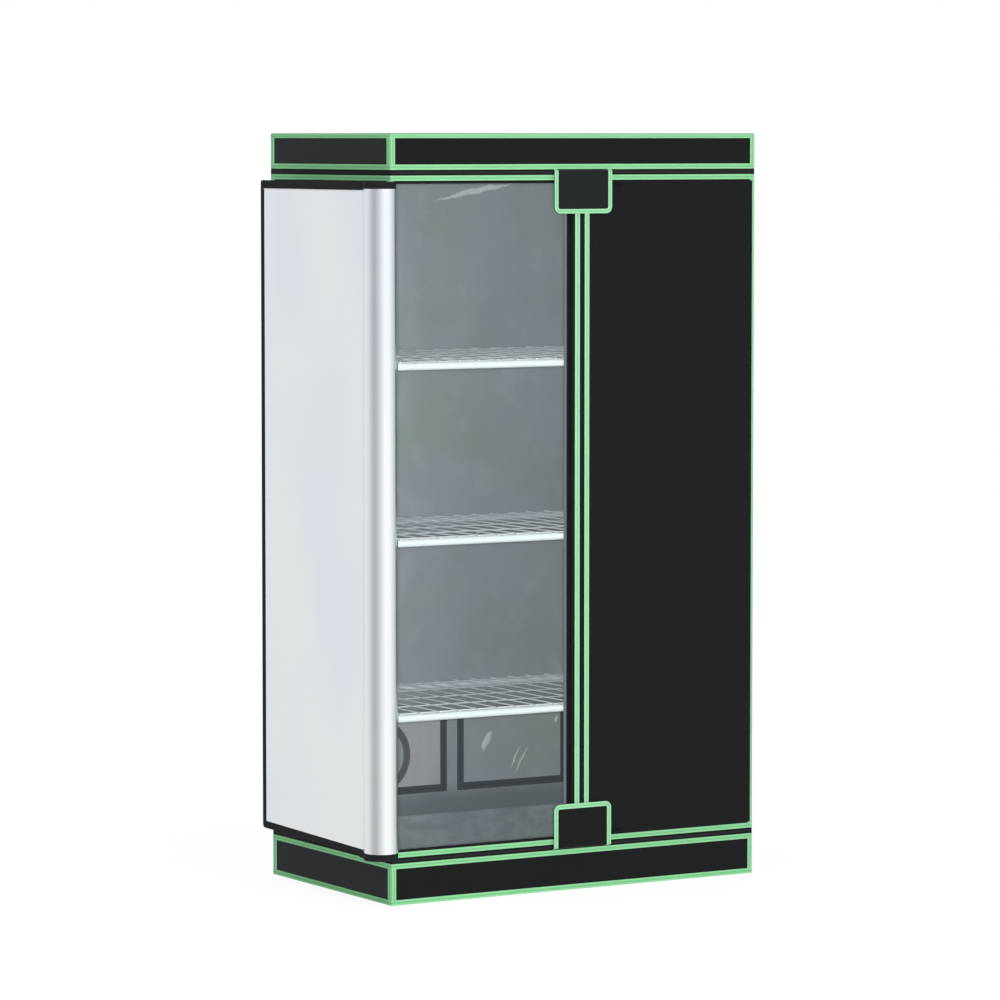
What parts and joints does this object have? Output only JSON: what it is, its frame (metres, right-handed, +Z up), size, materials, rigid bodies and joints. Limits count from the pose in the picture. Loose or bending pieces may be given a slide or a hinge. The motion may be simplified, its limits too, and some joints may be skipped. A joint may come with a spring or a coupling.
{
  "type": "grow tent",
  "caption": "Tall indoor grow tent: black reflective-lined cloth on a white tube frame, side-hung front doors with zips, wire shelves, floor tray and a rear duct port.",
  "frame": {"origin": "middle of the base, on the floor", "axes": "+X to the right seen from the front, +Y to the back, +Z up"},
  "size_m": [0.9705, 0.6427, 1.6],
  "materials": {
    "white_tube": "white powder coat, satin",
    "white_wire": "white dipped coat, satin",
    "connector_plastic": "moulded, fine grain",
    "reflective_film": "reflective metallised film, creased",
    "black_cloth": "coated woven cloth, slight sheen",
    "green_tape": "woven tape, stitched, matt",
    "black_webbing": "ribbed webbing, matt",
    "zip_tape": "woven tape with coil teeth",
    "pale_zip_edge": "pale woven tape with coil teeth",
    "silver_lining": "reflective lining, soft sheen, fine wrinkles",
    "black_tape": "woven tape, stitched",
    "vent_mesh": "fine insect mesh",
    "slider_metal": "black enamel on zinc"
  },
  "bodies": {
    "tent": {"front_left_post": "white_tube", "front_right_post": "white_tube", "back_left_post": "white_tube", "back_right_post": "white_tube", "base_rails": "white_tube", "lower_shelf_rails": "white_tube", "middle_shelf_rails": "white_tube", "upper_shelf_rails": "white_tube", "top_rails": "white_tube", "corner_connectors": "connector_plastic", "shelf_connectors": "connector_plastic", "hanging_bars": "white_tube", "floor_sheet": "black_cloth", "roof_panel": "black_cloth", "left_wall": "black_cloth", "right_wall": "black_cloth", "back_wall": "black_cloth", "front_header": "black_cloth", "front_sill": "black_cloth", "left_jamb": "black_cloth", "right_jamb": "black_cloth", "crown_edge_binding": "green_tape", "crown_strips": "green_tape", "crown_webbing": "black_webbing", "base_strips": "green_tape", "base_webbing": "black_webbing", "bottom_edge_binding": "green_tape", "corner_bindings": "green_tape", "doorway_zips": "zip_tape", "left_door_fold": "silver_lining", "vent_mesh": "vent_mesh", "port_patch_binding": "black_tape", "port_sleeve": "black_cloth"},
    "left_door": {"left_door_panel": "silver_lining", "left_door_hem": "black_tape"},
    "left_top_zip_slider": {"left_top_slider": "slider_metal"},
    "left_top_zip_pull": {"left_top_pull": "slider_metal"},
    "left_bottom_zip_slider": {"left_bottom_slider": "slider_metal"},
    "left_bottom_zip_pull": {"left_bottom_pull": "slider_metal"},
    "right_door": {"right_door_panel": "black_cloth", "right_door_bindings": "green_tape", "right_door_zip_edge": "pale_zip_edge"},
    "right_top_zip_slider": {"right_top_slider": "slider_metal"},
    "right_top_zip_pull": {"right_top_pull": "slider_metal"},
    "right_bottom_zip_slider": {"right_bottom_slider": "slider_metal"},
    "right_bottom_zip_pull": {"right_bottom_pull": "slider_metal"},
    "centre_zip_slider": {"centre_slider": "slider_metal"},
    "centre_zip_pull": {"centre_pull": "slider_metal"},
    "top_flap": {"top_flap_panel": "black_cloth", "top_flap_binding": "green_tape"},
    "bottom_flap": {"bottom_flap_panel": "black_cloth", "bottom_flap_binding": "green_tape"},
    "lower_shelf": {"lower_wire_shelf": "white_wire"},
    "middle_shelf": {"middle_wire_shelf": "white_wire"},
    "upper_shelf": {"upper_wire_shelf": "white_wire"},
    "tray": {"floor_tray": "reflective_film"},
    "vent_flap": {"vent_cover": "silver_lining", "vent_cover_binding": "black_tape"},
    "port_flap": {"port_cover": "silver_lining", "port_cover_binding": "black_tape"}
  },
  "joints": [
    {"name": "left_door_swing", "type": "hinge", "parent": "tent", "child": "left_door", "pos_m": [-0.4886, -0.2817, 0.802], "axis": [0, 0, 1], "range_deg": [0, 270]},
    {"name": "left_top_zip", "type": "slide", "parent": "left_door", "child": "left_top_zip_slider", "axis": [0, -1, 0], "range_m": [0, 0.36]},
    {"name": "left_top_pull_swing", "type": "hinge", "parent": "left_top_zip_slider", "child": "left_top_zip_pull", "pos_m": [-0.50605, 0.1594, 1.494], "axis": [0, 0, -1], "range_deg": [-110, 0]},
    {"name": "left_bottom_zip", "type": "slide", "parent": "left_door", "child": "left_bottom_zip_slider", "axis": [0, -1, 0], "range_m": [0, 0.36]},
    {"name": "left_bottom_pull_swing", "type": "hinge", "parent": "left_bottom_zip_slider", "child": "left_bottom_zip_pull", "pos_m": [-0.50605, 0.1594, 0.11], "axis": [0, 0, -1], "range_deg": [-110, 0]},
    {"name": "right_door_swing", "type": "hinge", "parent": "tent", "child": "right_door", "pos_m": [0.4535, -0.2644, 0.80625], "axis": [0, 0, 1], "range_deg": [0, 270], "deforming": ["top_flap_panel", "top_flap_binding", "bottom_flap_panel", "bottom_flap_binding"]},
    {"name": "right_top_zip", "type": "slide", "parent": "right_door", "child": "right_top_zip_slider", "axis": [1, 0, 0], "range_m": [0, 0.3]},
    {"name": "right_top_pull_swing", "type": "hinge", "parent": "right_top_zip_slider", "child": "right_top_zip_pull", "pos_m": [0.0865, -0.26425, 1.4925], "axis": [0, 0, 1], "range_deg": [-110, 0]},
    {"name": "right_bottom_zip", "type": "slide", "parent": "right_door", "child": "right_bottom_zip_slider", "axis": [1, 0, 0], "range_m": [0, 0.3]},
    {"name": "right_bottom_pull_swing", "type": "hinge", "parent": "right_bottom_zip_slider", "child": "right_bottom_zip_pull", "pos_m": [0.0865, -0.26425, 0.12], "axis": [0, 0, 1], "range_deg": [-110, 0]},
    {"name": "centre_zip", "type": "slide", "parent": "right_door", "child": "centre_zip_slider", "axis": [0, 0, -1], "range_m": [0, 1.26]},
    {"name": "centre_pull_swing", "type": "hinge", "parent": "centre_zip_slider", "child": "centre_zip_pull", "pos_m": [-0.01375, -0.26425, 1.4281], "axis": [1, 0, 0], "range_deg": [-110, 0]},
    {"name": "top_flap_lift", "type": "hinge", "parent": "tent", "child": "top_flap", "pos_m": [0.0125, -0.2612, 1.5251], "axis": [-1, 0, 0], "range_deg": [0, 150]},
    {"name": "bottom_flap_drop", "type": "hinge", "parent": "tent", "child": "bottom_flap", "pos_m": [0.0125, -0.2612, 0.0889], "axis": [1, 0, 0], "range_deg": [0, 150]},
    {"name": "lower_shelf_lift", "type": "slide", "parent": "tent", "child": "lower_shelf", "axis": [0, 0, 1], "range_m": [0, 0.06]},
    {"name": "middle_shelf_lift", "type": "slide", "parent": "tent", "child": "middle_shelf", "axis": [0, 0, 1], "range_m": [0, 0.06]},
    {"name": "upper_shelf_lift", "type": "slide", "parent": "tent", "child": "upper_shelf", "axis": [0, 0, 1], "range_m": [0, 0.06]},
    {"name": "tray_lift", "type": "slide", "parent": "tent", "child": "tray", "axis": [0, 0, 1], "range_m": [0, 0.1]},
    {"name": "vent_cover_swing", "type": "hinge", "parent": "tent", "child": "vent_flap", "pos_m": [0.152, 0.2565, 0.327], "axis": [-1, 0, 0], "range_deg": [0, 95]},
    {"name": "port_cover_swing", "type": "hinge", "parent": "tent", "child": "port_flap", "pos_m": [-0.192, 0.2565, 0.3215], "axis": [-1, 0, 0], "range_deg": [0, 95]}
  ]
}
